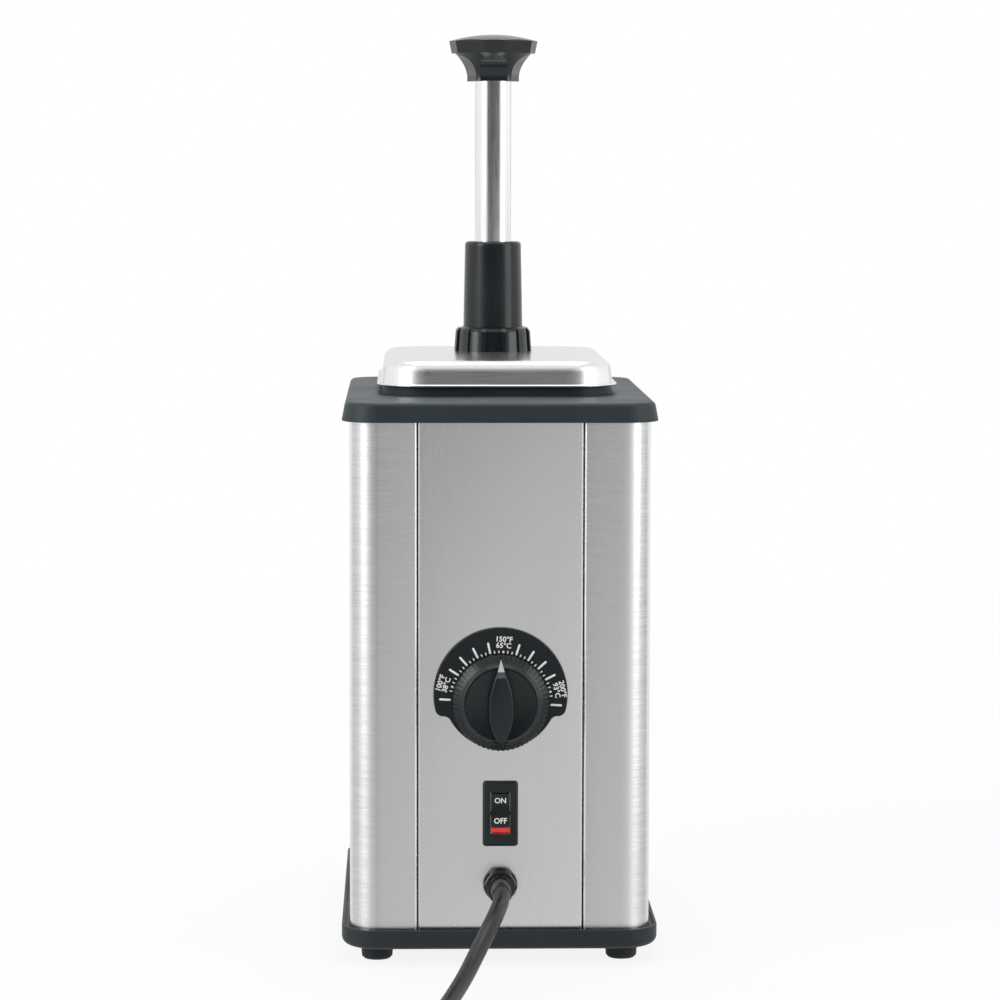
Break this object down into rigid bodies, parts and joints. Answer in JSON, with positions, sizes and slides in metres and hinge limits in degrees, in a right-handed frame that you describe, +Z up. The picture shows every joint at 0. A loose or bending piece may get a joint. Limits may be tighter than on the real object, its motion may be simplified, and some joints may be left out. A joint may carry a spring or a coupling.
{
  "type": "hot fudge topping warmer",
  "caption": "Upright heated topping well with a drop-in jar, pump lid with push knob and spout, rear thermostat dial and rocker switch.",
  "frame": {"origin": "on the floor under the middle of the housing", "axes": "+Z up, -Y toward the control panel, +Y toward the serving side under the spout, +X right as seen from behind the counter"},
  "size_m": [0.2016, 0.5295, 0.4739],
  "materials": {
    "stainless_wrap": "fine brushed satin",
    "stainless_panel": "fine brushed satin, vertical grain",
    "stainless_plain": "satin",
    "stainless_polished": "polished",
    "black_cover": "satin black",
    "black_base": "satin black",
    "black_satin": "satin black",
    "black_gloss": "gloss black",
    "control_black": "fine satin black",
    "switch_black": "satin black",
    "relief_black": "satin black",
    "pointer_white": "white print",
    "cord_rubber": "satin black",
    "foot_rubber": "matt black",
    "gasket_rubber": "pale silicone",
    "pump_plastic": "natural",
    "hardware_steel": "zinc plated",
    "insulation_fibre": "felted fibre",
    "element_sheath": "heat tinted sheath",
    "control_phenolic": "moulded",
    "copper_tube": "drawn copper",
    "contact_brass": "plain"
  },
  "bodies": {
    "root": {"base_tray": "black_base", "rubber_feet": "foot_rubber", "foot_screws": "hardware_steel", "tie_rods": "hardware_steel", "tie_rod_nuts": "hardware_steel", "housing_wrap": "stainless_wrap", "rear_panel": "stainless_panel", "top_cover": "black_cover", "heated_well": "stainless_plain", "well_gasket": "gasket_rubber", "insulation_jacket": "insulation_fibre", "heating_element": "element_sheath", "element_clamp_plate": "stainless_plain", "clamp_nuts": "hardware_steel", "high_limit_thermostat": "control_phenolic", "capillary_bulb": "copper_tube", "thermostat_body": "control_phenolic", "thermostat_screws": "hardware_steel", "dial_plate": "control_black", "switch_housing": "switch_black", "terminal_tabs": "contact_brass", "strain_relief": "relief_black", "cord_lead": "cord_rubber", "cord_coil": "cord_rubber", "plug_body": "cord_rubber", "plug_blades": "contact_brass", "plug_ground_pin": "contact_brass"},
    "dial": {"dial_knob": "control_black", "dial_pointer": "pointer_white", "thermostat_shaft": "hardware_steel"},
    "switch_rocker": {"rocker": "switch_black"},
    "food_jar": {"jar": "stainless_plain"},
    "pump": {"lid": "stainless_polished", "pump_cylinder": "pump_plastic", "valve_body": "pump_plastic", "ball_pin": "hardware_steel", "duckbill_valve": "gasket_rubber", "discharge_riser": "stainless_polished", "spout": "stainless_polished", "spout_nut": "stainless_polished", "pump_sleeve": "black_satin", "return_spring": "hardware_steel"},
    "collar": {"locking_collar": "black_gloss"},
    "plunger": {"push_knob": "black_gloss", "plunger_tube": "stainless_polished", "stop_ring": "stainless_polished", "piston": "pump_plastic", "piston_seals": "gasket_rubber"},
    "inlet_valve": {"inlet_ball": "hardware_steel"}
  },
  "joints": [
    {"name": "jar_lift", "type": "slide", "parent": "root", "child": "food_jar", "axis": [0, 0, 1], "range_m": [0, 0.215]},
    {"name": "pump_lift", "type": "slide", "parent": "food_jar", "child": "pump", "axis": [0, 0, 1], "range_m": [0, 0.205]},
    {"name": "plunger_press", "type": "slide", "parent": "pump", "child": "plunger", "axis": [0, 0, -1], "range_m": [0, 0.0762], "stiffness_N_per_m": 320, "springref_m": -0.03, "deforming": ["return_spring"]},
    {"name": "collar_turn", "type": "hinge", "parent": "pump", "child": "collar", "pos_m": [0, 0.052, 0.309], "axis": [0, 0, 1], "range_deg": [0, 90]},
    {"name": "inlet_ball_lift", "type": "slide", "parent": "pump", "child": "inlet_valve", "axis": [0, 0, 1], "range_m": [0, 0.003]},
    {"name": "dial_turn", "type": "hinge", "parent": "root", "child": "dial", "pos_m": [0, -0.1146, 0.1342], "axis": [0, -1, 0], "range_deg": [-90, 90]},
    {"name": "rocker_tilt", "type": "hinge", "parent": "root", "child": "switch_rocker", "pos_m": [0, -0.1136, 0.0773], "axis": [1, 0, 0], "range_deg": [0, 20]}
  ]
}
